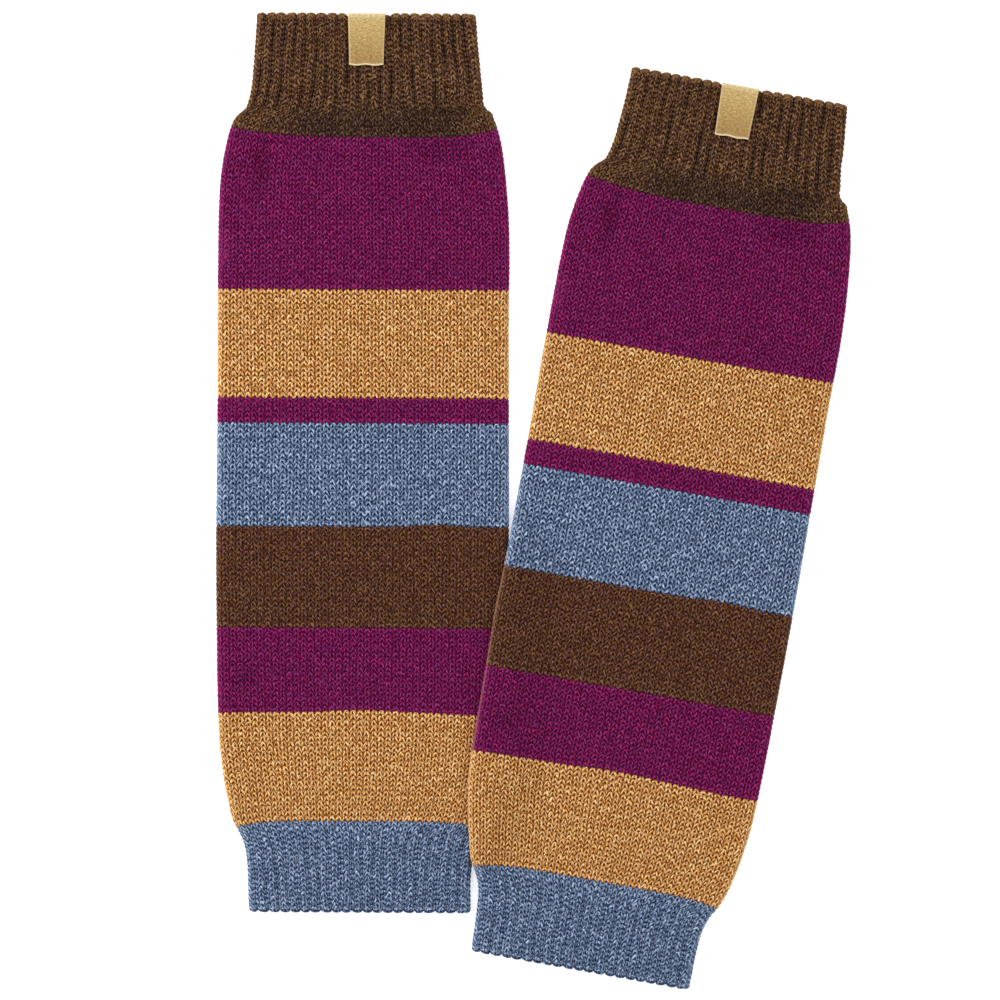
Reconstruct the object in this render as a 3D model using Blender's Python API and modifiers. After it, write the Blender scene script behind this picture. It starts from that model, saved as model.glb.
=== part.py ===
"""A pair of knitted leg warmers lying flat, the right one laid over the edge of the left one.

Each warmer is one flattened tube with an open mouth at both ends: a ribbed top cuff that flares
into the leg, a striped leg, a ribbed bottom cuff, and a folded label over the top edge.
Metres, +Z up. The pair lies on Z = 0 with its top cuffs towards +Y, and the middle of its
footprint is the origin. Run with: blender --background --python part.py
"""

import math

import bpy
import numpy as np

MM = 0.001

# Driving dimensions of one warmer
LENGTH = 420 * MM
WALL = 2.3 * MM
RIBS_OF_PARTS = (19, 2, 19, 2)  # on the underside, the right fold, the face and the left fold
RIB_RELIEF = 1.1 * MM
RIB_SHARPNESS = 0.7  # under 1 makes a full crest and a narrow groove
FACE_CROWN = 0.4 * MM
SEAM_GAP = 0.32 * MM
END_ROUNDING = 0.5 * MM
SCALLOP = 0.5 * MM  # how far the grooves stop short of the crests at an open end
BOW_POWER = 5  # the courses bend only near the folds

# Where the cuffs meet the leg, in millimetres down from the top edge
TOP_CUFF_END = 57.9
BOTTOM_CUFF_START = 377.3

# Where the middle of each warmer lies, and how far its top leans to the right
PLACES = {
    "left": {"x": -79.9 * MM, "y": 17.2 * MM, "lean": math.radians(0.35)},
    "right": {"x": 58.7 * MM, "y": -12.8 * MM, "lean": math.radians(10.17)},
}

# One row for each section down the leg, in millimetres: distance from the top edge, half of the
# flat width, and how far a course is bent down the leg where it meets the folds
SECTION_COLUMNS = ("down", "half_width", "bow")
SECTIONS = (
    (0.0, 50.9, 0.0),
    (14.0, 51.8, 0.0),
    (33.0, 53.3, -0.3),
    (42.0, 55.0, -1.0),
    (45.0, 55.9, -1.4),
    (47.6, 58.4, -2.1),
    (50.4, 60.5, -3.0),
    (55.0, 62.4, -4.3),
    (60.0, 63.8, -4.6),
    (69.0, 65.7, -2.9),
    (78.5, 67.0, -1.5),
    (98.0, 67.9, -0.4),
    (130.0, 68.0, 0.0),
    (240.0, 68.0, 0.0),
    (290.0, 67.9, 0.0),
    (326.0, 67.5, 0.7),
    (340.0, 66.6, 1.2),
    (349.0, 65.3, 1.7),
    (358.5, 63.8, 2.3),
    (367.7, 61.7, 3.0),
    (373.3, 60.0, 3.3),
    (379.0, 57.6, 3.2),
    (383.6, 55.2, 2.3),
    (388.0, 53.7, 1.5),
    (394.0, 52.7, 0.9),
    (405.0, 52.2, 0.3),
    (420.0, 52.0, 0.0),
)

# How strongly the ribs stand, from 0 in plain knitting to 1, by distance down in millimetres
RIBBING_COLUMNS = ("down", "strength")
RIBBING = ((0, 1), (40, 1), (44, 0.75), (50, 0), (379, 0), (382, 0.6), (386, 1), (420, 1))

# The gap between the two layers of cloth, wider at the open mouths, in millimetres
SLIT_COLUMNS = ("down", "gap")
SLIT = ((0, 1.4), (6, 0.9), (14, 0.6), (406, 0.6), (414, 0.9), (420, 1.4))

# The leg's bands from the top cuff down: the yarn, and where it ends in millimetres down the leg
STRIPES = (
    ("plum", 128.8),
    ("gold", 179.4),
    ("plum", 191.3),
    ("blue", 239.9),
    ("brown", 286.5),
    ("plum", 326.0),
    ("gold", BOTTOM_CUFF_START),
)

# Base colours of the yarns and the label's tape, linear, and the roughness they share
YARN_COLOURS = {
    "brown": (0.080, 0.038, 0.020),
    "plum": (0.130, 0.010, 0.063),
    "gold": (0.440, 0.205, 0.070),
    "blue": (0.105, 0.148, 0.235),
    "label_tape": (0.450, 0.275, 0.107),
}
CLOTH_ROUGHNESS = 0.9

# Where a section has points: shares of the way from the middle of a flat layer to its fold, closer
# where the courses bow, and turns round the outside and the inside of a fold
FLAT_SHARES = (0.3, 0.55, 0.72, 0.83, 0.92)
OUTER_FOLD_TURNS = (0, 0.2, 0.4, 0.6, 0.8)
INNER_FOLD_TURNS = (0, 0.5)
POINTS_PER_RIB = 4

# The rows of section rings that each piece is lofted through, in millimetres down the leg
TOP_CUFF_ROWS = (0, 0.8, 8, 20, 40, 45, 50, TOP_CUFF_END)
FLARE_ROWS = (TOP_CUFF_END, 64, 71, 80, 92, 108)
MIDDLE_ROWS = (154, 215.6, 263, 306)
TAPER_ROWS = (340, 350, 360, 369, BOTTOM_CUFF_START)
BOTTOM_CUFF_ROWS = (BOTTOM_CUFF_START, 381, 386, 400, 412, 419.2, 420)

# The label, a folded tape over the top edge, and how far right of the middle it sits
LABEL_WIDTH = 17.0 * MM
LABEL_LENGTH = 24.3 * MM
LABEL_THICKNESS = 1.0 * MM
LABEL_OFFSET = 0.65 * MM
LABEL_BEND = 1.0 * MM
LABEL_BEND_STEPS = 4
LABEL_ROWS = (20 * MM, 8 * MM)

# How the right warmer's margin climbs over the left one: clearance, and the run back to the floor
LIFT_CLEARANCE = 0.32 * MM
LIFT_RUN = 22 * MM
LIFT_RIB_START = 365 * MM
LIFT_RIB_END = 384 * MM
LIFT_WIDTH = 40 * MM
LIFT_COLUMN_STEP = 5 * MM
LIFT_ROW_START = 200
LIFT_ROW_STEP = 10


def monotone(rows, columns, column, scale=MM):
    """A smooth curve through one column of a table against its distance down, with no overshoot."""
    x = np.array([row[columns.index("down")] for row in rows], float) * MM
    y = np.array([row[columns.index(column)] for row in rows], float) * scale
    step = np.diff(x)
    rise = np.diff(y) / step
    slope = np.concatenate([[rise[0]], np.zeros(len(x) - 2), [rise[-1]]])
    turning = rise[:-1] * rise[1:] <= 0
    before, after = 2 * step[1:] + step[:-1], step[1:] + 2 * step[:-1]
    with np.errstate(divide="ignore", invalid="ignore"):
        mean = (before + after) / (before / rise[:-1] + after / rise[1:])
    slope[1:-1] = np.where(turning, 0.0, mean)

    def curve(at):
        at = np.clip(at, x[0], x[-1])
        i = np.clip(np.searchsorted(x, at) - 1, 0, len(step) - 1)
        t = (at - x[i]) / step[i]
        low = y[i] * (1 + 2 * t) * (1 - t) ** 2 + slope[i] * step[i] * t * (1 - t) ** 2
        high = y[i + 1] * (3 - 2 * t) * t**2 - slope[i + 1] * step[i] * (1 - t) * t**2
        return low + high

    return curve


half_width = monotone(SECTIONS, SECTION_COLUMNS, "half_width")
bow = monotone(SECTIONS, SECTION_COLUMNS, "bow")
ribbing = monotone(RIBBING, RIBBING_COLUMNS, "strength", scale=1)
slit = monotone(SLIT, SLIT_COLUMNS, "gap")


def smoothstep(t):
    t = np.clip(t, 0, 1)
    return t * t * (3 - 2 * t)


def rib_turns(ribs):
    """Turns round the tube at these rib counts. A turn runs 0 to 1 along the underside, 1 to 2 up
    the right fold, 2 to 3 back along the face and 3 to 4 down the left fold."""
    return np.interp(ribs, np.cumsum((0,) + RIBS_OF_PARTS), range(5))


def rib_wave(turns):
    """How far the ribs stand out at these turns, 1 on a crest and 0 in a groove."""
    ribs = np.interp(turns, range(5), np.cumsum((0,) + RIBS_OF_PARTS))
    return np.abs(np.cos(math.pi * ribs)) ** RIB_SHARPNESS


def ring(down, turns, depth=0.0, recess=0.0):
    """Points round one section of the tube, as (across, along, up) from the warmer's middle.

    depth is how far they lie under the outer surface, and recess is how far down the leg the
    grooves stop short of the crests.
    """
    part = np.minimum(turns.astype(int), 3)
    share = turns - part
    quarter = math.pi / 2
    flat_angle = np.zeros_like(turns)
    angle = np.choose(
        part,
        (
            flat_angle - quarter,
            (2 * share - 1) * quarter,
            flat_angle + quarter,
            (2 * share + 1) * quarter,
        ),
    )
    side = np.choose(part, (2 * share - 1, flat_angle + 1, 1 - 2 * share, flat_angle - 1))
    radius = WALL + slit(down) / 2
    rib = RIB_RELIEF * ribbing(down)
    # The ribs fade out below the middle of each fold, so that the underside rests flat
    wave = rib_wave(turns) * smoothstep(1 + np.sin(angle))
    reach = radius - depth + (rib * wave if depth < WALL else 0)
    across = side * (half_width(down) - rib - radius) + reach * np.cos(angle)
    share_across = across / half_width(down)
    crown = FACE_CROWN * (1 - share_across**2) * np.maximum(np.sin(angle), 0)
    up = radius + reach * np.sin(angle) + crown
    here = down + bow(down) * np.abs(share_across) ** BOW_POWER + recess * (1 - wave)
    return np.stack([share_across * half_width(here), LENGTH / 2 - here, up], axis=1)


def to_world(points, place):
    """A warmer's own (across, along) coordinates as world (x, y)."""
    cos, sin = math.cos(place["lean"]), math.sin(place["lean"])
    x = place["x"] + points[:, 0] * cos + points[:, 1] * sin
    y = place["y"] - points[:, 0] * sin + points[:, 1] * cos
    return np.stack([x, y], axis=1)


def to_warmer(points, place):
    """World (x, y) as a warmer's own distance across and distance down from its top edge."""
    cos, sin = math.cos(place["lean"]), math.sin(place["lean"])
    x, y = points[:, 0] - place["x"], points[:, 1] - place["y"]
    return x * cos - y * sin, LENGTH / 2 - (x * sin + y * cos)


def inside(points, place):
    """Which world points lie over a warmer's outline."""
    across, down = to_warmer(points, place)
    return (down > 0) & (down < LENGTH) & (np.abs(across) < half_width(down))


def covered_edge():
    """World points a millimetre apart along the part of the left warmer's right fold that the
    right warmer covers."""
    down = np.arange(0, LENGTH, 1 * MM)
    edge = to_world(np.stack([half_width(down), LENGTH / 2 - down], axis=1), PLACES["left"])
    return edge[inside(edge, PLACES["right"])]


COVERED_EDGE = covered_edge()


def lift(points):
    """How far the right warmer is raised at these world points: over the left warmer it lies just
    above it, and beside it the cloth runs back down to the floor."""
    _, down = to_warmer(points, PLACES["left"])
    ribs = RIB_RELIEF * smoothstep((down - LIFT_RIB_START) / (LIFT_RIB_END - LIFT_RIB_START))
    left_top = 2 * WALL + slit(LENGTH / 2) + FACE_CROWN / 2 + ribs
    offset = points[:, None, :] - COVERED_EDGE[None, :, :]
    distance = np.where(
        inside(points, PLACES["left"]), 0, np.linalg.norm(offset, axis=2).min(axis=1)
    )
    return (left_top + LIFT_CLEARANCE) * smoothstep(1 - distance / LIFT_RUN)


def placed(points, side):
    """Points of one warmer, the right one raised where it crosses the left one."""
    if side == "right":
        points = points.copy()
        points[:, 2] += lift(to_world(points, PLACES["right"]))
    return points


def between_rings(outer, outer_turns, inner, inner_turns):
    """Triangles that close the end between two rings whose points lie at unlike turns."""
    faces = []
    i = j = 0
    outer_turns, inner_turns = np.append(outer_turns, 4), np.append(inner_turns, 4)
    while i < len(outer) or j < len(inner):
        in_outer = i < len(outer)
        if j == len(inner) or (in_outer and outer_turns[i + 1] <= inner_turns[j + 1]):
            faces.append((outer[i], outer[(i + 1) % len(outer)], inner[j % len(inner)]))
            i += 1
        else:
            faces.append((outer[i % len(outer)], inner[(j + 1) % len(inner)], inner[j]))
            j += 1
    return faces


def band_faces(first, second):
    """Quads between two rings with the same number of points."""
    count = len(first)
    return [
        (first[k], first[(k + 1) % count], second[(k + 1) % count], second[k])
        for k in range(count)
    ]


def tube_mesh(name, side, outer_rings, outer_turns, inner_rings, inner_turns):
    """The closed wall of a tube: its outer and inner surfaces, joined at both open ends."""
    points = np.concatenate([placed(ring_points, side) for ring_points in outer_rings + inner_rings])
    rows, around, within = len(outer_rings), len(outer_turns), len(inner_turns)
    outer = np.arange(rows * around).reshape(rows, around)
    inner = rows * around + np.arange(rows * within).reshape(rows, within)
    faces = []
    for row in range(rows - 1):
        faces += band_faces(outer[row], outer[row + 1])
        faces += band_faces(inner[row + 1], inner[row])
    start = between_rings(outer[0], outer_turns, inner[0], inner_turns)
    faces += [face[::-1] for face in start]
    faces += between_rings(outer[-1], outer_turns, inner[-1], inner_turns)
    mesh = bpy.data.meshes.new(name)
    mesh.from_pydata(points.tolist(), [], [[int(k) for k in face] for face in faces])
    mesh.validate()
    mesh.update()
    return mesh


def clear_scene():
    for existing in list(bpy.data.objects):
        bpy.data.objects.remove(existing, do_unlink=True)


def cloth_material(name):
    material = bpy.data.materials.new(name)
    material.use_nodes = True
    shader = material.node_tree.nodes["Principled BSDF"]
    shader.inputs["Base Color"].default_value = (*YARN_COLOURS[name], 1)
    shader.inputs["Roughness"].default_value = CLOTH_ROUGHNESS
    shader.inputs["Metallic"].default_value = 0.0
    material.diffuse_color = (*YARN_COLOURS[name], 1)
    return material


def add_object(name, mesh, materials, collection, parent):
    piece = bpy.data.objects.new(name, mesh)
    for material in materials:
        mesh.materials.append(material)
    piece.parent = parent
    collection.objects.link(piece)
    mesh.shade_smooth()
    mesh.set_sharp_from_angle(angle=math.radians(50))
    return piece


def flat_turns(climbs):
    """Turns across one flat layer between its folds, with closer ones near the first fold where
    the right warmer climbs."""
    shares = np.array(FLAT_SHARES)
    turns = np.concatenate([(1 - shares) / 2, [0.5], (1 + shares) / 2])
    if climbs:
        width = 2 * half_width(LENGTH / 2)
        steps = np.arange(LIFT_COLUMN_STEP, LIFT_WIDTH, LIFT_COLUMN_STEP) / width
        far = np.abs(steps[:, None] - turns).min(axis=1) > LIFT_COLUMN_STEP / width / 3
        turns = np.concatenate([turns, steps[far]])
    return np.sort(turns)


def plain_turns(fold_turns, climbs):
    """Turns all round a plain tube, from the left end of its underside."""
    fold, flat = np.array(fold_turns), flat_turns(climbs)
    return np.concatenate([[0], flat, 1 + fold, [2], 3 - flat[::-1], 3 + fold])


def leg_rows(side):
    """Distances down the leg tube at which it has a ring, among them every change of yarn, and
    closer ones where the right warmer climbs."""
    changes = tuple(end for _, end in STRIPES[:-1])
    rows = np.array(FLARE_ROWS + MIDDLE_ROWS + changes + TAPER_ROWS)
    if side == "right":
        climb = np.arange(LIFT_ROW_START, BOTTOM_CUFF_START, LIFT_ROW_STEP)
        far = np.abs(climb[:, None] - rows).min(axis=1) > LIFT_ROW_STEP / 3
        rows = np.concatenate([rows, climb[far]])
    return np.sort(rows) * MM


def make_leg(side, materials, collection, parent):
    """The striped tube between the cuffs, in plain knitting, a material for each yarn."""
    rows = leg_rows(side)
    rows[0] += SEAM_GAP / 2
    rows[-1] -= SEAM_GAP / 2
    turns = plain_turns(OUTER_FOLD_TURNS, side == "right")
    inner_turns = plain_turns(INNER_FOLD_TURNS, side == "right")
    outer = [ring(row, turns) for row in rows]
    inner = [ring(row, inner_turns, depth=WALL) for row in rows]
    name = f"{side}_leg_tube"
    mesh = tube_mesh(name, side, outer, turns, inner, inner_turns)
    yarns = list(dict.fromkeys(yarn for yarn, _ in STRIPES))
    piece = add_object(name, mesh, [materials[yarn] for yarn in yarns], collection, parent)
    for face in mesh.polygons:
        down = (LENGTH / 2 - face.center[1]) / MM
        # The courses bow past the last band's end at the folds
        yarn = next((yarn for yarn, end in STRIPES if down < end), STRIPES[-1][0])
        face.material_index = yarns.index(yarn)
    return piece


def make_cuff(side, which, materials, collection, parent):
    """A ribbed cuff. Its ribs stand on the face and folds, and fade where it meets the leg."""
    is_top = which == "top"
    rows = np.array(TOP_CUFF_ROWS if is_top else BOTTOM_CUFF_ROWS) * MM
    open_end = 0 if is_top else len(rows) - 1
    rows[-1 if is_top else 0] += -SEAM_GAP / 2 if is_top else SEAM_GAP / 2
    climbs = side == "right" and not is_top
    ribs = np.arange(RIBS_OF_PARTS[0], sum(RIBS_OF_PARTS), 1 / POINTS_PER_RIB)
    turns = np.concatenate([[0], flat_turns(climbs), rib_turns(ribs)])
    inner_turns = plain_turns(INNER_FOLD_TURNS, climbs)
    outer, inner = [], []
    for index, row in enumerate(rows):
        is_open = index == open_end
        inward = 1 if is_top else -1
        recess = inward * SCALLOP if is_open else 0
        depth = END_ROUNDING if is_open else 0
        outer.append(ring(row, turns, depth=depth, recess=recess))
        inner.append(ring(row + recess / 2, inner_turns, depth=WALL))
    name = f"{side}_{which}_cuff"
    mesh = tube_mesh(name, side, outer, turns, inner, inner_turns)
    yarn = "brown" if is_top else "blue"
    return add_object(name, mesh, [materials[yarn]], collection, parent)


def label_path():
    """The label's inner line as (down, up): along the crests of the ribs, over the top edge and
    down in front of it to the inner surface of the upper layer."""
    def crest(down):
        return 2 * WALL + slit(down) + RIB_RELIEF + FACE_CROWN + SEAM_GAP

    centre_down, centre_up = LABEL_BEND - SEAM_GAP, crest(0) - LABEL_BEND
    path = [(down, crest(down)) for down in (LABEL_LENGTH, *LABEL_ROWS)]
    for step in range(LABEL_BEND_STEPS + 1):
        angle = step / LABEL_BEND_STEPS * math.pi / 2
        down = centre_down - LABEL_BEND * math.sin(angle)
        path.append((down, centre_up + LABEL_BEND * math.cos(angle)))
    path.append((-SEAM_GAP, WALL + slit(0)))
    return path


def make_label(side, materials, collection, parent):
    """The woven label: an open strip along its path, thickened outwards."""
    path = label_path()
    left, right = LABEL_OFFSET - LABEL_WIDTH / 2, LABEL_OFFSET + LABEL_WIDTH / 2
    points = [(x, LENGTH / 2 - down, up) for down, up in path for x in (left, right)]
    faces = [(2 * k, 2 * k + 1, 2 * k + 3, 2 * k + 2) for k in range(len(path) - 1)]
    name = f"{side}_label"
    mesh = bpy.data.meshes.new(name)
    mesh.from_pydata(points, [], faces)
    mesh.update()
    piece = add_object(name, mesh, [materials["label_tape"]], collection, parent)
    shell = piece.modifiers.new("tape_thickness", "SOLIDIFY")
    shell.thickness = LABEL_THICKNESS
    shell.offset = 1.0
    shell.use_even_offset = True
    return piece


def main():
    clear_scene()
    collection = bpy.data.collections.new("leg_warmers")
    bpy.context.scene.collection.children.link(collection)
    materials = {name: cloth_material(name) for name in YARN_COLOURS}
    for side, place in PLACES.items():
        warmer = bpy.data.objects.new(f"{side}_leg_warmer", None)
        warmer.location = (place["x"], place["y"], 0)
        warmer.rotation_euler = (0, 0, -place["lean"])
        collection.objects.link(warmer)
        make_cuff(side, "top", materials, collection, warmer)
        make_leg(side, materials, collection, warmer)
        make_cuff(side, "bottom", materials, collection, warmer)
        make_label(side, materials, collection, warmer)


main()
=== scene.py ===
"""The looks of a pair of striped, knitted leg warmers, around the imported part.

Each warmer is one knitted tube. Here its cloth is built stitch by stitch over the form of the CAD
solids: one closed, thin-walled piece for each cuff and for each band of the leg, and a folded
woven tape for the label. Metres, +Z up, in the frame of the CAD.

In the knitting a place is given as (wale, course). A wale is a column of stitches, counted round
the tube from the left end of the underside, and a course is a row, counted down from the top.
"""

import math

import bpy
import numpy as np
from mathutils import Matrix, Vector


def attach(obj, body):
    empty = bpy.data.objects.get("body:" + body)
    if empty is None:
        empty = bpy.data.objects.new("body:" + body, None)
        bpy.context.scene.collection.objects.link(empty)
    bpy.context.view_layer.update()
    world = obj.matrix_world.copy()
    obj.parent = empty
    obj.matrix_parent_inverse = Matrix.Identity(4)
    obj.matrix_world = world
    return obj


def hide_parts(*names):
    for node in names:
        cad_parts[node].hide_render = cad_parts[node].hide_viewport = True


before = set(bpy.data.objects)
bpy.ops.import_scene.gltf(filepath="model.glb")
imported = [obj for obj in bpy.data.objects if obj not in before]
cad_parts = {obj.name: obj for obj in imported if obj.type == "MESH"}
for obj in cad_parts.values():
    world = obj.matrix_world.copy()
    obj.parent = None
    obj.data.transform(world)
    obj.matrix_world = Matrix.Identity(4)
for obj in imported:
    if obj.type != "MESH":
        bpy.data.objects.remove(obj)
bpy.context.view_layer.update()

MM = 0.001

# Camera, lights and floor

VIEW_SIZE = 466.67 * MM  # the side of the square that the picture shows
VIEW_CENTRE = (-15.82 * MM, -0.15 * MM)
VIEW_PLANE = 5 * MM  # the height at which the picture is that wide
LENS, SENSOR = 250.0, 36.0
# Each soft light's name, place, size and power in watts
LIGHTS = (
    ("key", (-0.8, 0.65, 1.15), 0.8, 7.5),
    ("side", (-1.3, 0.1, 0.45), 0.6, 7),
    ("fill", (0.9, -0.5, 1.3), 1.2, 5),
)
STUDIO_LIGHT = 0.7
FLOOR_REACH = 6.0
FLOOR_COLOUR = (0.93, 0.93, 0.93)
FLOOR_GLOW = 0.5


def add_object(name, data):
    """A new object in the scene."""
    thing = bpy.data.objects.new(name, data)
    bpy.context.scene.collection.objects.link(thing)
    return thing


def make_camera():
    """A long lens, looking straight down."""
    data = bpy.data.cameras.new("camera")
    data.lens, data.sensor_width = LENS, SENSOR
    data.clip_start, data.clip_end = 0.05, 50
    camera = add_object("camera", data)
    camera.location = (*VIEW_CENTRE, VIEW_PLANE + VIEW_SIZE * LENS / SENSOR)
    bpy.context.scene.camera = camera


def area_light(name, place, size, power):
    """A round light that shines on the middle of the pair."""
    data = bpy.data.lights.new(name, "AREA")
    data.shape, data.size, data.energy = "DISK", size, power
    light = add_object(name, data)
    light.location = place
    light.rotation_euler = Vector(place).to_track_quat("Z", "Y").to_euler()
    light.visible_camera = False


def studio():
    """Even white light from all round, and the area lights."""
    world = bpy.data.worlds.new("studio")
    world.use_nodes = True
    background = world.node_tree.nodes["Background"]
    background.inputs["Color"].default_value = (1, 1, 1, 1)
    background.inputs["Strength"].default_value = STUDIO_LIGHT
    bpy.context.scene.world = world
    bpy.context.scene.view_settings.view_transform = "Standard"
    for name, place, size, power in LIGHTS:
        area_light(name, place, size, power)


def make_floor():
    """A white sheet of paper that glows a little, so that it shows as plain white."""
    reach = FLOOR_REACH
    corners = [(-reach, -reach, 0), (reach, -reach, 0), (reach, reach, 0), (-reach, reach, 0)]
    mesh = bpy.data.meshes.new("floor")
    mesh.from_pydata(corners, [], [(0, 1, 2, 3)])
    paper = Graph("floor_paper")
    paper.surface({
        "Base Color": (*FLOOR_COLOUR, 1),
        "Roughness": 0.9,
        "Specular IOR Level": 0.1,
        "Emission Color": (1, 1, 1, 1),
        "Emission Strength": FLOOR_GLOW,
    })
    mesh.materials.append(paper.material)
    floor = add_object("floor", mesh)


# The form: the CAD's, apart from small moves that bring it closer to the photo

LENGTH = 420 * MM
WALL = 2.3 * MM
RIB_RELIEF = 1.1 * MM
RIB_SHARPNESS = 0.7
FACE_CROWN = 0.4 * MM
# How steeply the bow of the courses rises at the folds, and at the left folds above LEFT_BOW_END
BOW_POWER, LEFT_BOW_POWER = 5, 2.9
LEFT_BOW_END, LEFT_BOW_RUN = 150 * MM, 40 * MM
# The middle of each warmer. The right one lies 0.5 mm further down than in the CAD.
PLACES = {
    "left": {"x": -79.9 * MM, "y": 17.2 * MM, "lean": math.radians(0.35)},
    "right": {"x": 58.8 * MM, "y": -13.3 * MM, "lean": math.radians(10.17)},
}
# Distance down from the top edge, half of the flat width and the bow of the courses, in mm
SECTIONS = (
    (0, 50.9, 0), (14, 51.8, 0), (33, 53.3, -0.3), (42, 55, -1),
    (45, 55.9, -1.4), (47.6, 58.4, -2.1), (50.4, 60.5, -3), (55, 62.4, -4.3),
    (60, 63.8, -4.6), (69, 65.7, -2.9), (78.5, 67, -1.5), (98, 67.9, -0.4),
    (130, 68, 0), (240, 68, 0), (290, 67.9, 0), (326, 67.5, 0.7),
    (340, 66.6, 1.2), (349, 65.3, 1.7), (358.5, 63.8, 2.3), (367.7, 61.7, 3),
    (373.3, 60, 3.3), (379, 57.6, 3.2), (383.6, 55.2, 2.3), (388, 53.7, 1.5),
    (394, 52.7, 0.9), (405, 52.2, 0.3), (420, 52, 0),
)
# How much further out than that the left and right folds lie, which aren't quite alike
FOLDS = (
    (0, -0.7, 0.1), (1.6, -0.15, 0.6), (6, -0.15, 0.9), (14, -0.15, 1.1),
    (26, -0.2, 1.5), (33, -0.25, 1.55), (38, -0.3, 1.35), (42, -0.15, 0.65),
    (44, -0.05, 1.1), (46, 0.5, 2.35), (48, 0.8, 1.25), (50, 0.85, 0.4),
    (60, 0.6, -0.1), (78, 0.35, -0.8), (95, 0.25, -0.35), (112, 0.25, 0.05),
    (140, 0.35, -0.15), (180, 0.1, 0.1), (240, 0.35, 0.5), (300, -0.2, 0.25),
    (330, -0.5, 0.15), (349, -0.05, 0.55), (368, 0.45, 0.75), (379, 1.35, 0.95),
    (385, 1.15, 0.75), (392, 0.75, 0.35), (405, 0.45, -0.35), (417.5, 0, -0.3),
    (420, -0.9, -1),
)
# And how much further out the right warmer's left fold lies, where it laps the left warmer
LAP = (
    (0, 0), (225, 0), (245, 0.4), (262, 1), (275, 0.9), (290, 0.9), (335, 1.3), (355, 0.6),
    (375, 0), (420, 0),
)
# Distance down, and how ribbed the knitting is there or how far apart the two layers lie
RIBBING = ((0, 1), (40, 1), (44, 0.75), (50, 0), (379, 0), (382, 0.6), (386, 1), (420, 1))
SLIT = ((0, 1.4), (6, 0.9), (14, 0.6), (406, 0.6), (414, 0.9), (420, 1.4))
LIFT_CLEARANCE = 0.32 * MM  # between the right warmer and the left one under it
LIFT_RUN = 22 * MM  # over which the right warmer comes down to the floor
LIFT_RIBS = (365 * MM, 384 * MM)  # it rises over these to clear the left warmer's bottom ribs


def monotone(rows, column, scale=MM):
    """A smooth curve through one column of a table against its first column, with no overshoot."""
    x = np.array([row[0] for row in rows], float) * MM
    y = np.array([row[column] for row in rows], float) * scale
    step = np.diff(x)
    rise = np.diff(y) / step
    slope = np.concatenate([[rise[0]], np.zeros(len(x) - 2), [rise[-1]]])
    turning = rise[:-1] * rise[1:] <= 0
    before, after = 2 * step[1:] + step[:-1], step[1:] + 2 * step[:-1]
    with np.errstate(divide="ignore", invalid="ignore"):
        mean = (before + after) / (before / rise[:-1] + after / rise[1:])
    slope[1:-1] = np.where(turning, 0.0, mean)

    def curve(at):
        at = np.clip(at, x[0], x[-1])
        i = np.clip(np.searchsorted(x, at) - 1, 0, len(step) - 1)
        t = (at - x[i]) / step[i]
        low = y[i] * (1 + 2 * t) * (1 - t) ** 2 + slope[i] * step[i] * t * (1 - t) ** 2
        high = y[i + 1] * (3 - 2 * t) * t**2 - slope[i + 1] * step[i] * (1 - t) * t**2
        return low + high

    return curve


half_width = monotone(SECTIONS, 1)
bow = monotone(SECTIONS, 2)
left_fold = monotone(FOLDS, 1)
right_fold = monotone(FOLDS, 2)
lap = monotone(LAP, 1)
ribbing = monotone(RIBBING, 1, scale=1)
slit = monotone(SLIT, 1)


def smoothstep(t):
    """A soft step: 0 up to t = 0, 1 from t = 1."""
    t = np.clip(t, 0, 1)
    return t * t * (3 - 2 * t)


def to_world(across, along, place):
    """A warmer's own place, across it and along it from its middle, as world x and y."""
    cos, sin = math.cos(place["lean"]), math.sin(place["lean"])
    return place["x"] + across * cos + along * sin, place["y"] - across * sin + along * cos


def to_warmer(x, y, place):
    """World (x, y) as a warmer's own distance across and distance down from its top edge."""
    cos, sin = math.cos(place["lean"]), math.sin(place["lean"])
    x, y = x - place["x"], y - place["y"]
    return x * cos - y * sin, LENGTH / 2 - (x * sin + y * cos)


def inside(x, y, place):
    """Whether these world points lie over a warmer."""
    across, down = to_warmer(x, y, place)
    return (down > 0) & (down < LENGTH) & (np.abs(across) < half_width(down))


def covered_edge():
    """World points along the part of the left warmer's right fold that the right one covers."""
    down = np.arange(0, LENGTH, 1 * MM)
    x, y = to_world(half_width(down), LENGTH / 2 - down, PLACES["left"])
    covered = inside(x, y, PLACES["right"])
    return x[covered], y[covered]


COVERED_EDGE = covered_edge()


def lift(x, y):
    """How far the right warmer is raised at these world points, to lie on the left one."""
    edge_x, edge_y = COVERED_EDGE
    near = (x > edge_x.min() - 2 * LIFT_RUN) & (x < edge_x.max() + 2 * LIFT_RUN)
    near &= (y > edge_y.min() - 2 * LIFT_RUN) & (y < edge_y.max() + 2 * LIFT_RUN)
    raised = np.zeros_like(x)
    x, y = x[near], y[near]
    _, down = to_warmer(x, y, PLACES["left"])
    ribs = RIB_RELIEF * smoothstep((down - LIFT_RIBS[0]) / (LIFT_RIBS[1] - LIFT_RIBS[0]))
    left_top = 2 * WALL + slit(LENGTH / 2) + FACE_CROWN / 2 + ribs
    distance = np.full_like(x, 1.0)
    for px, py in zip(edge_x, edge_y):
        np.minimum(distance, np.hypot(x - px, y - py), out=distance)
    distance[inside(x, y, PLACES["left"])] = 0
    raised[near] = (left_top + LIFT_CLEARANCE) * smoothstep(1 - distance / LIFT_RUN)
    return raised


# The knitting

WALES = 84
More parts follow.
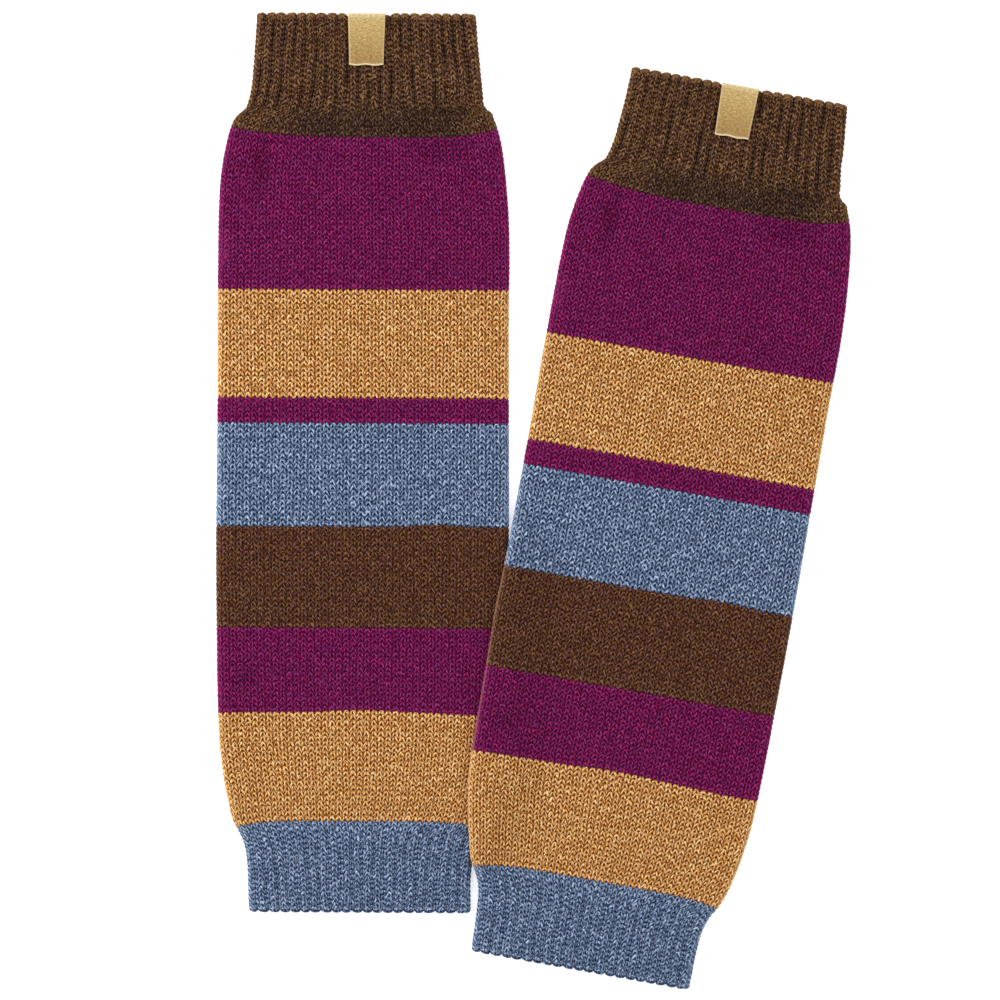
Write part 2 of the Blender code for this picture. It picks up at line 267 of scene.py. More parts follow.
# Each band from the top down: its name, its yarn, its courses and where it ends, in mm down
BANDS = (
    ("top_cuff_knit", "cuff_brown", 24, 58.2),
    ("plum_band_1", "plum", 31, 129.3),
    ("gold_band_1", "gold", 21, 179.85),
    ("plum_band_2", "plum", 5, 191.6),
    ("blue_band", "blue", 20, 239.9),
    ("brown_band", "brown", 20, 287.2),
    ("plum_band_3", "plum", 17, 326.6),
    ("gold_band_2", "gold", 22, 377.3),
    ("bottom_cuff_knit", "cuff_blue", 18, 420.0),
)
COURSES = sum(band[2] for band in BANDS)
COURSE_MARKS = np.cumsum([0] + [band[2] for band in BANDS])
DOWN_MARKS = np.array([0.0] + [band[3] for band in BANDS]) * MM

CUFF_FLAT_WALES = 39.0  # wales across one flat layer where the ribs are
LEG_FLAT_WALES = 39.5  # and in the leg, where they spread evenly round the folds too
SHEAR = 0.95  # how far a leg of a stitch slants, in courses
SHEAR_AT_CHANGE = 0.6  # and where the yarn changes
SLANT_POWER = 1.5  # over 1 rounds the top of each stitch
UNEVEN = 0.15  # how far the stitches' tops and feet stray up or down, in courses
STRAY = 0.07  # and sideways, in wales
STITCH_RELIEF = 0.7 * MM
PROUD = 0.12 * MM  # how far the stitches stand over the CAD's surface
LEG_GAP, PIT, END_GAP = 0.4, 0.9, 0.15  # depths between legs, in a pit and at a leg's ends
TENSION = 0.1  # how much the relief of one stitch may differ from the next
EDGE_COURSES = 1.5  # over these the relief fades at an open edge, and the slant at a change of yarn
PURL_STRAIGHT = 0.7  # how much straighter a leg is in the purl wales of a rib
WANDER, RIB_WANDER = 0.08, 0.22  # how far the wales wander, in wales, and how much more in ribs
WANDER_RUN = 14 * MM
WAVINESS, WAVINESS_RUN = 0.12 * MM, 20 * MM  # of the face
SPREAD_RUN = 26 * MM  # over which the wales change from the cuff's spacing to the leg's
SPREAD_ENDS = (44 * MM, 384 * MM)
RIB_SPREAD = 0.3  # how much a rib's knit wale widens over the purl wale beside it
RIB_GROOVE = 0.3 * MM
UNDER_RIB_GROOVE = 0.8 * MM
# Some of the ribs' grooves gape and some are closed: the mean, how much they vary, and the most
GAPE, GAPE_SPREAD, GAPE_MOST = 0.55, 1.1, 1.4
GAPE_RUN = 9 * MM
# The ribs' grooves get painted shade, this dark at these courses
RIB_SHADE_MARKS, RIB_SHADES = (0, 24, 160, 178), (0.72, 0.7, 0.06, 0.06)  # courses, and how dark
RIM_WIDTH, RIM_DEPTH = 4.5 * MM, 2.4 * MM  # the paler margin at the folds and the top edge: fuzz, and a painted highlight
RIM_AT_FOLD = 0.38
RIM_LOST_ON_RIBS = 0.3
BRINK_WIDTH = 1.15 * MM  # the painted highlight along the line where the right warmer's fold crosses the left warmer
BRINK_FIRMNESS = 1.8  # over 1 leaves it firm over part of its width
BRINK_RIM = 0.6  # how much of the rim's painted highlight it carries
# The flare's darkening is painted shade
FLARE_COURSES = (16.0, 21.0)  # over these the top cuff darkens towards the middle of its flare
# Where that darkening starts to fade and how far it takes, left and right, in half widths
FLARE_STARTS, FLARE_RUNS = (0.4, 0.64), (0.35, 0.2)
FLARE_FADE = 0.85  # how much of it is gone at the folds
# Soft patches of the face: their middles across and down, half widths and half heights in mm, lean
# in degrees and strength. In the first the cloth is hollow, with painted shade in it, in the second
# the courses stray down by the strength in mm, and in the third the rim gets a paler painted
# highlight.
HOLLOWS = (
    (-48, 72, 5.5, 19, 6, 1),
    (34, 64, 21, 7, 0, 0.7),
    (34, 45, 17, 9, 0, 0.65),
    (-53, 311, 10, 8, 0, 0.8),
)
DRIFTS = (
    (34, 240, 17, 14, 0, -1),
    (0, 326, 24, 12, 0, -1.1),
    (52, 326, 20, 12, 0, 0.8),
)
RIM_HIGHLIGHTS = ((-67, 112, 7, 14, 0, 0.55),)
PATCH_REACH = 1.3  # how far a patch fades out, in its half widths
HOLLOW_DEPTH = 0.45 * MM
LIP = 1.0 * MM  # the rounding of the cloth at an open end
LIP_STEPS = 5
LIP_COURSES = 1.5  # how many courses of pattern fit round a lip
SCALLOP, SCALLOP_RUN = 1.1 * MM, 5 * MM
UNDER_INSET = 1.2 * MM  # how much shorter the underside is, so that it doesn't fill the scallops
LABEL_TOP_WIDTH, LABEL_END_WIDTH = 17.5 * MM, 15.9 * MM
LABEL_LENGTH = 24.6 * MM
LABEL_OFFSET = 0.65 * MM
LABEL_DENT = 1.2 * MM  # how far the label pulls in the edge that it is sewn over
DENT_REACH = 1.6  # in half widths of the label

FINE_START, FINE_END = 40, 83  # wales that show from above, which get the finer mesh
FINE_COLUMNS, COARSE_COLUMNS, ROWS = 6, 2, 4  # mesh columns to a wale and rows to a course
INNER_ROW_STEP = 6  # courses
SEEDS = {"left": 11, "right": 23}


def smooth_noise(x, y, columns, rows, seed):
    """Smooth noise from -1 to 1 on a lattice, wrapped across its columns."""
    table = np.random.RandomState(seed).uniform(-1, 1, (rows + 2, columns))
    i, j = np.floor(x).astype(int), np.clip(np.floor(y).astype(int), 0, rows)
    s, t = smoothstep(x - i), smoothstep(np.clip(y - j, 0, 1))
    i, k = i % columns, (i + 1) % columns
    top = table[j, i] * (1 - s) + table[j, k] * s
    bottom = table[j + 1, i] * (1 - s) + table[j + 1, k] * s
    return top * (1 - t) + bottom * t


def tube_noise(wale, spacing, wales, run, seed):
    """Smooth noise over a warmer, with a bend to each so many wales round and each run down."""
    return smooth_noise(wale / wales, spacing / run, WALES // wales, round(LENGTH / run), seed)


def stitch_noise(wale, course, seed):
    """Smooth noise that differs from each leg of a stitch to the next."""
    return smooth_noise(2 * wale, course, 2 * WALES, COURSES, seed)


def turns_of(wale, down):
    """Turns round the tube, 0 to 1 along the underside, 1 to 2 up the right fold, 2 to 3 back
    along the face and 3 to 4 down the left fold."""
    top, bottom = SPREAD_ENDS
    away = smoothstep((down - top) / SPREAD_RUN) * smoothstep((bottom - down) / SPREAD_RUN)
    flat = CUFF_FLAT_WALES + (LEG_FLAT_WALES - CUFF_FLAT_WALES) * away
    half = WALES / 2
    back = wale >= half
    along = wale - half * back
    return 2 * back + np.where(along < flat, along / flat, 1 + (along - flat) / (half - flat))


def round_tube(turns):
    """Which way the cloth faces, from -90 degrees underneath to 270, and its place across a flat
    layer, from -1 at the left fold to 1 at the right one."""
    part = np.minimum(turns.astype(int), 3)
    along = turns - part
    swing, still = 2 * along - 1, 0 * along
    angle = math.pi / 2 * np.choose(part, (still - 1, swing, still + 1, 2 * along + 1))
    flank = np.choose(part, (swing, still + 1, -swing, still - 1))
    return angle, flank


def stitch_height(wale, course, amount):
    """The stitches' relief, 0 at the bottom of a pit and 1 on a ridge. Each leg of a stitch is
    plump in its middle, and the pits are in each loop and between neighbouring loops."""
    share = np.abs(2 * np.mod(wale + 0.5, 1) - 1)  # 0 in the middle of a wale, 1 at its edge
    between = np.abs(np.cos(math.pi * course))
    pit = np.abs(np.cos(math.pi * share))
    height = 1 - between * (LEG_GAP + (PIT - LEG_GAP) * pit) - END_GAP * pit**2
    return np.clip(height, 0, 1) * amount


def patches(table, across, down):
    """The strength of a table's soft patches at these places."""
    total = np.zeros_like(across)
    for x, y, half_x, half_y, lean, strength in table:
        cos, sin = math.cos(math.radians(lean)), math.sin(math.radians(lean))
        dx, dy = across / MM - x, down / MM - y
        far = ((dx * cos + dy * sin) / half_x) ** 2 + ((dy * cos - dx * sin) / half_y) ** 2
        total += strength * smoothstep(1 - np.sqrt(far) / PATCH_REACH)
    return total


def slanted_down(wale, course, ends, seed):
    """How far down each point lies, with the legs of each stitch slanting to its foot."""
    down = np.interp(course, COURSE_MARKS, DOWN_MARKS)
    slant = np.abs(2 * np.mod(wale + 0.5, 1) - 1) ** SLANT_POWER
    purl = np.abs(np.mod(wale + 0.5, 2) - 1.5) < 0.5
    slant = np.where(purl, slant + (1 - slant) * PURL_STRAIGHT * ribbing(down), slant)
    change = np.abs(course[..., None] - COURSE_MARKS[1:-1]).min(axis=-1)
    shear = SHEAR + (SHEAR_AT_CHANGE - SHEAR) * smoothstep(1 - change / EDGE_COURSES)
    uneven = UNEVEN * stitch_noise(wale, course, seed) * smoothstep(change)
    return down + LENGTH / COURSES * ends * (shear * (slant - 0.5) + uneven)


def bowed(share, down):
    """How far down each point comes to lie when its course bows towards the folds."""
    left_top = (share < 0) * smoothstep((LEFT_BOW_END - down) / LEFT_BOW_RUN)
    power = BOW_POWER + (LEFT_BOW_POWER - BOW_POWER) * left_top
    return down + bow(down) * np.abs(share) ** power


def drawn_in(here, wave, across, down, topness):
    """Draws in the open edges: between the ribs, under the label and along the underside."""
    near_end = smoothstep(1 - down / SCALLOP_RUN) - smoothstep(1 - (LENGTH - down) / SCALLOP_RUN)
    recess = SCALLOP * (1 - wave) * near_end
    under_label = smoothstep(DENT_REACH - np.abs(across - LABEL_OFFSET) / (LABEL_TOP_WIDTH / 2))
    under_label = under_label * topness * (near_end > 0)
    inset = (LIP + LABEL_DENT * under_label + UNDER_INSET * (1 - topness)) * near_end
    return here + recess + inset


def outlined(side, share, here):
    """World x and y of points at a share of the half width, with the folds where they lie."""
    left_out = left_fold(here) + lap(here) * (side == "right")
    out = right_fold(here) * (1 + share) / 2 - left_out * (1 - share) / 2
    return to_world(share * half_width(here) + out, LENGTH / 2 - here, PLACES[side])


def rim_shades(to_fold, here, ribs, glow, over_left, angle):
    """How much each point lies at a rim and on the brink, the line where the warmers lap: the fuzz
    and painted highlight there.
    """
    rim = RIM_AT_FOLD * smoothstep(1 - to_fold / RIM_WIDTH)
    rim = rim * (1 - RIM_LOST_ON_RIBS * ribs)
    rim = np.maximum(rim, glow)
    brink = smoothstep(BRINK_FIRMNESS - BRINK_FIRMNESS * to_fold / BRINK_WIDTH) * over_left
    brink = brink * smoothstep((np.sin(angle) + 0.2) / 0.4)  # on the upper half of the fold
    rim = np.maximum(rim, BRINK_RIM * brink)
    rim = np.maximum(rim, smoothstep(1 - (here - LIP / 2) / RIM_DEPTH))
    return rim, brink


def flare_shade(course, share):
    """How much of the flare's painted shade each point has."""
    first, last = FLARE_COURSES
    start = np.where(share < 0, *FLARE_STARTS)
    run = np.where(share < 0, *FLARE_RUNS)
    left = 1 - FLARE_FADE * smoothstep((np.abs(share) - start) / run)
    return smoothstep((course - first) / (last - first)) * left


def cloth(side, wale, course, level, lip):
    """Points of one warmer's cloth, and their shades, which carry painted shade and highlight: how
    much each lies in a groove, at a rim, in the flare, in a hollow and on the brink of the lap.

    level is 0 on the outside and 1 on the inside, and lip is how far past the last course a point
    lies, in metres, negative at the top edge.
    """
    wale = np.mod(wale, WALES)
    seed = SEEDS[side]
    spacing = np.interp(course, (0, COURSES), (0, LENGTH))
    down = np.interp(course, COURSE_MARKS, DOWN_MARKS)
    ends = smoothstep(course / EDGE_COURSES) * smoothstep((COURSES - course) / EDGE_COURSES)
    slanted = slanted_down(wale, course, ends, seed + 4)
    ribs = ribbing(slanted)
    wave = np.abs(np.cos(math.pi * wale / 2)) ** RIB_SHARPNESS  # 1 on a rib, 0 in its groove

    # Round the tube: the wales wander, and the knit wales of the ribs spread
    wander = tube_noise(wale, spacing, 2, WANDER_RUN, seed) * (WANDER + RIB_WANDER * ribs)
    wander += STRAY * smooth_noise(wale, course, WALES, COURSES, seed + 1)
    spread = RIB_SPREAD * ribs * np.sin(math.pi * wale) / math.pi
    angle, flank = round_tube(turns_of(np.mod(wale + spread + wander, WALES), slanted))
    topness = smoothstep(1 + np.sin(angle))  # 1 over all of the face, 0 at the very bottom

    # Out from the middle of the slit: the wall, the stitches, the ribs and their grooves
    radius = WALL + slit(slanted) / 2
    amount = 1 - TENSION + TENSION * stitch_noise(wale, course, seed + 2)
    height = 1 - (1 - stitch_height(wale, course, amount)) * ends
    relief = STITCH_RELIEF * (height - 1) + PROUD * topness
    gape = GAPE + GAPE_SPREAD * tube_noise(wale - 1, spacing, 2, GAPE_RUN, seed + 5)
    gape = (1 - wave) * ribs * np.clip(gape, 0, GAPE_MOST)
    groove = gape * (RIB_GROOVE * topness + UNDER_RIB_GROOVE * (1 - topness))
    rib = RIB_RELIEF * ribs
    outer = radius + rib * wave * topness + relief - groove
    inner = radius - WALL
    reach = outer + (inner - outer) * level

    # Across, up, and down to the place in the outline
    across = flank * (half_width(slanted) - rib - radius) + reach * np.cos(angle)
    share = across / half_width(slanted)
    crown = FACE_CROWN * (1 - share**2) * np.maximum(np.sin(angle), 0)
    waviness = WAVINESS * tube_noise(wale, spacing, 4, WAVINESS_RUN, seed + 3) * topness
    hollow = patches(HOLLOWS, across, slanted)
    up = radius + reach * np.sin(angle) + crown + waviness
    up = up - HOLLOW_DEPTH * hollow * topness * (1 - level)
    here = drawn_in(bowed(share, slanted), wave, across, down, topness) + lip
    here = here + MM * patches(DRIFTS, across, slanted)
    x, y = outlined(side, share, here)
    over_left = inside(x, y, PLACES["left"]) * (side == "right")
    if side == "right":
        up = up + lift(x, y)

    to_fold = half_width(slanted) - np.abs(across)
    glow = patches(RIM_HIGHLIGHTS, across, slanted)
    rim, brink = rim_shades(to_fold, here, ribbing(down), glow, over_left, angle)
    shades = {
        "groove": np.clip(np.interp(course, RIB_SHADE_MARKS, RIB_SHADES) * gape, 0, 1),
        "rim": rim,
        "flare": flare_shade(course, share),
        "hollow": hollow,
        "brink": brink,
    }
    return np.stack([x, y, up], axis=-1), shades


def column_wales():
    """The wale coordinate of each column of the mesh, and which columns are fine. The first is
    inside the right fold, and they run over the face, round the left fold and back underneath."""
    fine = FINE_START + np.arange((FINE_END - FINE_START) * FINE_COLUMNS + 1) / FINE_COLUMNS
    coarse_count = (WALES - FINE_END + FINE_START) * COARSE_COLUMNS
    coarse = FINE_END + np.arange(1, coarse_count + 1) / COARSE_COLUMNS
    wales = np.concatenate([fine, coarse])
    is_fine = np.arange(len(wales)) < len(fine)
    is_fine[-1] = True  # the first column again
    return wales, is_fine


def knit_piece(name, side, band, material):
    """One band of a warmer: its outer and inner surfaces, closed at both ends."""
    first, last = COURSE_MARKS[band], COURSE_MARKS[band + 1]
    wales, fine = column_wales()
    count = len(wales) - 1  # the last column is the first one again
    outer = np.arange((last - first) * ROWS + 1) / ROWS + first
    steps = max(1, round((last - first) / INNER_ROW_STEP))
    inner = np.linspace(last, first, steps + 1)
    rows = [(course, 0.0, 0.0) for course in outer]
    turns = (np.arange(LIP_STEPS) + 1) / (LIP_STEPS + 1) * math.pi
    if last == COURSES:
        rows += [(last, (1 - math.cos(a)) / 2, LIP * math.sin(a)) for a in turns]
    rows += [(course, 1.0, 0.0) for course in inner]
    if first == 0:
        rows += [(first, (1 - math.cos(a)) / 2, -LIP * math.sin(a)) for a in turns[::-1]]
    table = np.array(rows)
    grid_wale = np.broadcast_to(wales[:count], (len(rows), count))
    grids = [np.broadcast_to(table[:, k : k + 1], grid_wale.shape) for k in range(3)]
    points, shades = cloth(side, grid_wale, *grids)

    # Faces as lists of (row, column) corners, with columns counted on past the wrap
    faces = []
    outer_last = len(outer) - 1
    columns = np.arange(count)
    here, after = fine[:-1], fine[1:]
    for row in range(len(rows)):
        if row >= outer_last:
            faces.append(quads(row, (row + 1) % len(rows), columns))
            continue
        faces.append(quads(row, row + 1, columns[here & after]))
        if row % 2 == 0:
            faces.append(quads(row, row + 2, columns[~here & ~after]))
            faces += [seam(row, column, column + 1) for column in columns[here & ~after]]
            faces += [seam(row, column + 1, column) for column in columns[~here & after]]
    corners = np.concatenate([f.reshape(-1, 2) for f in faces])
    sizes = np.concatenate([np.full(len(f), f.shape[1]) for f in faces])
    # The pattern of the yarn runs on round the lips
    courses = table[:, 0] + LIP_COURSES * table[:, 1] * np.sign(table[:, 2])
    places = np.stack([wales[corners[:, 1]], courses[corners[:, 0]]], axis=1)
    return mesh_of(name, points, shades, corners, sizes, wales, places, material, outer_last)


def quads(row, following, columns):
    """Quads between two rows, from each of these columns to the next."""
    corners = ((row, 0), (following, 0), (following, 1), (row, 1))
    points = [np.stack([np.full_like(columns, r), columns + c], axis=1) for r, c in corners]
    return np.stack(points, axis=1)


def seam(row, fine_column, coarse_column):
    """Three triangles from two fine rows to one coarse row."""
    a, b, c = ((row + k, fine_column) for k in range(3))
    p, q = (row, coarse_column), (row + 2, coarse_column)
    triangles = [(a, b, p), (b, q, p), (b, c, q)]
    if coarse_column < fine_column:
        triangles = [t[::-1] for t in triangles]
    return np.array(triangles)


# Where a knitted piece's face, its underside and the rest of it go in its map for baking: (left
# edge, bottom, width, height)
BAKE_BOXES = np.array((
    (0.003, 0.37, 0.994, 0.627),
    (0.003, 0.13, 0.994, 0.234),
    (0.003, 0.003, 0.994, 0.121),
))


def bake_places(corners, sizes, wales, row_count, outer_last):
    """A place in the unit square for each corner, with no two faces in the same place."""
    starts = np.concatenate([[0], np.cumsum(sizes)[:-1]])
    row, column = corners[:, 0].astype(float), corners[:, 1]

    def of_face(reduce, values):
        return np.repeat(reduce.reduceat(values, starts), sizes)

    low, high = of_face(np.minimum, row), of_face(np.maximum, row)
    closing = high - low > 2  # the faces from the last row back to the first
    row = np.where(closing & (row == 0), row_count, row)
    outside = ~closing & (high <= outer_last)
    wale = wales[column]
    on_face = outside & (of_face(np.maximum, wale) <= FINE_END)
    part = np.where(on_face, 0, np.where(outside, 1, 2))
    start = np.array((FINE_START, FINE_END, FINE_START))[part]
    around = np.array((FINE_END - FINE_START, WALES + FINE_START - FINE_END, WALES))[part]
    u = (wale - start) / around
    v = np.where(outside, 1 - row / outer_last, 1 - (row - outer_last) / (row_count - outer_last))
    left, bottom, width, height = BAKE_BOXES[part].T
    return np.stack([left + u * width, bottom + v * height], axis=1)


def dress(mesh, material, shades, maps):
    """Gives a mesh its material, each point its shades and each corner its place in the maps."""
    for name, values in shades.items():
        attribute = mesh.attributes.new(name, "FLOAT", "POINT")
        attribute.data.foreach_set("value", values.astype(np.float32).ravel())
    for name, places in maps.items():
        layer = mesh.uv_layers.new(name=name)
        layer.data.foreach_set("uv", places.astype(np.float32).ravel())
    mesh.materials.append(material)
    mesh.polygons.foreach_set("use_smooth", np.ones(len(mesh.polygons), bool))


def mesh_of(name, points, shades, corners, sizes, wales, places, material, outer_last):
    """The mesh of one knitted piece, with its shades and its two maps."""
    rows, count = points.shape[:2]
    index = corners[:, 0] * count + corners[:, 1] % count
    used, compact = np.unique(index, return_inverse=True)
    starts = np.concatenate([[0], np.cumsum(sizes)[:-1]])
    mesh = bpy.data.meshes.new(name)
    mesh.vertices.add(len(used))
    mesh.vertices.foreach_set("co", points.reshape(-1, 3)[used].astype(np.float32).ravel())
    mesh.loops.add(len(compact))
    mesh.loops.foreach_set("vertex_index", compact.astype(np.int32).ravel())
    mesh.polygons.add(len(sizes))
    mesh.polygons.foreach_set("loop_start", starts.astype(np.int32))
    mesh.update(calc_edges=True)
    shades = {key: values.ravel()[used] for key, values in shades.items()}
    bake = bake_places(corners, sizes, wales, rows, outer_last)
    dress(mesh, material, shades, {"knit": places, "OFBake": bake})
    # Sharp where the outside meets the cut ends, so that they don't shade the stitches
    edges = np.zeros(len(mesh.edges) * 2, np.int32)
    mesh.edges.foreach_get("vertices", edges)
    of_row = (used // count)[edges.reshape(-1, 2)]
    same = of_row[:, 0] == of_row[:, 1]
    sharp = same & ((of_row[:, 0] == 0) | (of_row[:, 0] == outer_last))
    mesh.edges.foreach_set("use_edge_sharp", sharp)
    mesh.update()
    return add_object(name, mesh)


# Materials


class Graph:
    """Short names for making one material's nodes."""

    def __init__(self, name):
        self.material = bpy.data.materials.new(name)
        self.material.use_nodes = True
        self.tree = self.material.node_tree
        self.shader = self.tree.nodes["Principled BSDF"]

    def fill(self, node, inputs):
        """Links each of these inputs to an output, or sets it to a constant."""
        for key, value in inputs.items():
            if isinstance(value, bpy.types.NodeSocket):
                self.tree.links.new(value, node.inputs[key])
            else:
                node.inputs[key].default_value = value

    def surface(self, inputs):
        """Fills inputs of the material's surface."""
        self.fill(self.shader, inputs)

    def node(self, kind, inputs, output=0, **settings):
        """One output of a new node with these inputs and settings."""
        node = self.tree.nodes.new(kind)
        for key, value in settings.items():
            setattr(node, key, value)
        self.fill(node, inputs)
        return node.outputs[output]

    def math(self, operation, *values):
        return self.node("ShaderNodeMath", dict(enumerate(values)), operation=operation)

    def times(self, a, b):
        return self.math("MULTIPLY", a, b)

    def plus(self, total, *values):
        for value in values:
            total = self.math("ADD", total, value)
        return total

    def vector(self, x, y, z=0.0):
        return self.node("ShaderNodeCombineXYZ", {"X": x, "Y": y, "Z": z})

    def parts(self, kind, value):
        """The parts of a vector or a colour."""
        node = self.tree.nodes.new(kind)
        self.fill(node, {0: value})
        return tuple(node.outputs)

    def coordinates(self, uv_map):
        """Both coordinates of one of the mesh's maps."""
        uv = self.node("ShaderNodeUVMap", {}, "UV", uv_map=uv_map)
        return self.parts("ShaderNodeSeparateXYZ", uv)[:2]

    def shade(self, name):
        """A value that each point of the mesh carries."""
        return self.node("ShaderNodeAttribute", {}, "Fac", attribute_name=name)

    def white(self, vector):
        """A random value for each whole place."""
        kind = "ShaderNodeTexWhiteNoise"
        return self.node(kind, {"Vector": vector}, "Value", noise_dimensions="3D")

    def cells(self, vector):
        """Three random values for each cell of a crazed pattern."""
        inputs = {"Vector": vector, "Scale": 1.0}
        colour = self.node("ShaderNodeTexVoronoi", inputs, "Color", voronoi_dimensions="2D")
        return self.parts("ShaderNodeSeparateColor", colour)

    def noise(self, vector, detail):
        inputs = {"Vector": vector, "Scale": 1.0, "Detail": detail}
        return self.node("ShaderNodeTexNoise", inputs, "Fac")

    def ramp(self, value, stops):
        node = self.tree.nodes.new("ShaderNodeValToRGB")
        ramp = node.color_ramp
        while len(ramp.elements) < len(stops):
            ramp.elements.new(0.5)
        for element, (place, colour) in zip(ramp.elements, stops):
            element.position = place
            element.color = (*colour, 1)
        self.fill(node, {"Fac": value})
        return node.outputs["Color"]

    def mix(self, factor, a, b, blend="MIX"):
        a, b = ((*colour, 1) if isinstance(colour, tuple) else colour for colour in (a, b))
        inputs = {0: factor, 6: a, 7: b}
        return self.node("ShaderNodeMix", inputs, 2, data_type="RGBA", blend_type=blend)

    def scaled(self, value, low, high, start=0.0, end=1.0):
        """A value that runs from low to high while the given one runs from start to end."""
        ends = {"From Min": start, "From Max": end, "To Min": low, "To Max": high}
        return self.node("ShaderNodeMapRange", {"Value": value, **ends})

    def spread(self, source, amount):
        """A random value from 0 to 1, made to run from -amount to amount."""
        return self.scaled(source, -amount, amount)

    def bump(self, height, strength, distance):
        inputs = {"Height": height, "Strength": strength, "Distance": distance}
        self.surface({"Normal": self.node("ShaderNodeBump", inputs)})


# Each yarn's colours, linear: deep, the painted shade in the pits and grooves, its dark, middle and
# light fibres, and two flecks. Then how much the flecks show, how much one bit of fibre differs
# from the next, how much lighter the middle of each leg is painted, how dark the painted shade in
# the pits is, and how much the few brightest fibres sparkle.
YARNS = {
    "cuff_brown": {
        "deep": (0.0112, 0.00744, 0.00837), "dark": (0.0279, 0.00837, 0.00744),
        "middle": (0.0945, 0.0382, 0.0212), "light": (0.353, 0.205, 0.0977),
        "flecks": ((0.067, 0.0233, 0.0251), (0.141, 0.0688, 0.0195)),
        "fleck_share": 0.85, "grain": 0.50, "ridge": 0.26, "pit": 0.90, "sparkle": 0.5,
    },
    "brown": {
        "deep": (0.0113, 0.00276, 0.00153), "dark": (0.0375, 0.00965, 0.0061),
        "middle": (0.0935, 0.0366, 0.022), "light": (0.217, 0.13, 0.0972),
        "flecks": ((0.0789, 0.0221, 0.0229), (0.127, 0.0553, 0.0153)),
        "fleck_share": 0.85, "grain": 0.53, "ridge": 0.25, "pit": 0.80, "sparkle": 0.35,
    },
    "plum": {
        "deep": (0.026, 0.000236, 0.00938), "dark": (0.0729, 0.00118, 0.0332),
        "middle": (0.166, 0.00879, 0.0836), "light": (0.28, 0.0512, 0.18),
        "flecks": ((0.12, 0.0102, 0.0846), (0.208, 0.00942, 0.0719)),
        "fleck_share": 0.85, "grain": 0.50, "ridge": 0.31, "pit": 0.85, "sparkle": 0.2,
    },
    "gold": {
        "deep": (0.096, 0.0229, 0.00191), "dark": (0.227, 0.0629, 0.00763),
        "middle": (0.598, 0.256, 0.0745), "light": (0.836, 0.592, 0.296),
        "flecks": ((0.585, 0.194, 0.064), (0.6, 0.32, 0.0585)),
        "fleck_share": 0.35, "grain": 0.47, "ridge": 0.43, "pit": 1.00, "sparkle": 0.9,
    },
    "blue": {
        "deep": (0.00508, 0.0106, 0.0358), "dark": (0.0276, 0.0483, 0.104),
        "middle": (0.12, 0.174, 0.284), "light": (0.43, 0.524, 0.695),
        "flecks": ((0.117, 0.143, 0.278), (0.109, 0.196, 0.287)),
        "fleck_share": 0.4, "grain": 0.40, "ridge": 0.32, "pit": 0.95, "sparkle": 0.9,
    },
}
YARNS["cuff_blue"] = {**YARNS["blue"], "grain": 0.43, "ridge": 0.29, "pit": 0.85}
YARN_SEEDS = {name: 1.0 + 7 * k for k, name in enumerate(YARNS)}
RIM_FUZZ_HIGHLIGHT_COLOUR = (0.270, 0.140, 0.036)  # of the brown cuff's fuzz and the painted highlight at its rims
BRINK_HIGHLIGHT_COLOUR = (0.52, 0.28, 0.18)
FLARE_SHADE = (0.54, 0.56, 0.72)  # how much of each channel the painted shade leaves in the middle of the flare
RIM_MIX, BRINK_MIX, HOLLOW_SHADE_MIX = 0.45, 0.27, 0.3
RIM_PIT = 0.2  # how much of the pits is left at a rim

# Tones run from 0, dark, to 1, light. These are the tones of the dark, middle and light fibres.
FIBRE_TONES = (0.15, 0.48, 0.95)
BASE_TONE = 0.36
# These paint light: highlights on the middles of wales and courses and at the rims, there partly
# fuzz, and shade on the lines between
WALE_TONES = (0.05, -0.07)  # what the middle of a wale gains, and the line between two
COURSE_TONE = 0.07  # what the middle of a course gains and its ends lose
RIM_TONE = 0.46  # what a rim gains
# How much each random pattern adds or takes: for a yarn's grain of 1, and for all yarns alike
CELL_TONE, GRAIN_TONE = 0.3, 2.1
LEG_TONE, CLOUD_TONE = 0.05, 0.05
# How fine each pattern is, in bits to a wale and to a course
CELL_GRAIN = (4.4, 3.5)
FINE_GRAIN = (5.0, 3.6)
CLOUD_GRAIN = (0.22, 0.7)
PIT_GRAIN = (4.0, 4.4)
FLECK_GRAIN = (2.0, 2.4)
FUZZ_GRAIN = (4.0, 4.0)

# The pits carry painted shade, and the middles of the legs a painted highlight
PIT_SIZE = (0.41, 0.28)  # a pit's radii, in half wales and courses
STROKE_SIZE = (0.37, 0.35)  # and those of the light middle of a leg
PIT_EDGE, STROKE_EDGE = (0.4, 1.2), (0.1, 1.15)  # the squared distances over which each fades
PIT_BETWEEN, PIT_RAGGED = 0.25, 0.9  # how much smaller they are between two wales, and how ragged
FLECK_DARK, FLECK_LIGHT = 0.35, 2.4  # a fleck's darkest and lightest fibres beside its own colour
FLECK_PATCH, FLECK_RAGGED = (0.2, 0.8), 0.34
FLECK_EDGE = (0.5, 0.64)
SPARKLE = 1.35  # how much lighter than the light fibres a few of them are
SPARKLE_FROM = 0.86  # the share of the fibres that don't sparkle
PLY_TWIST = (37.7, 6.283)  # radians to a wale and to a course
PLY_HEIGHT = 0.3
YARN_BUMP = (0.6, 0.4 * MM)
WOOL = {
    "Roughness": 0.95, "Specular IOR Level": 0.03, "Sheen Weight": 0.06, "Sheen Roughness": 0.4,
}


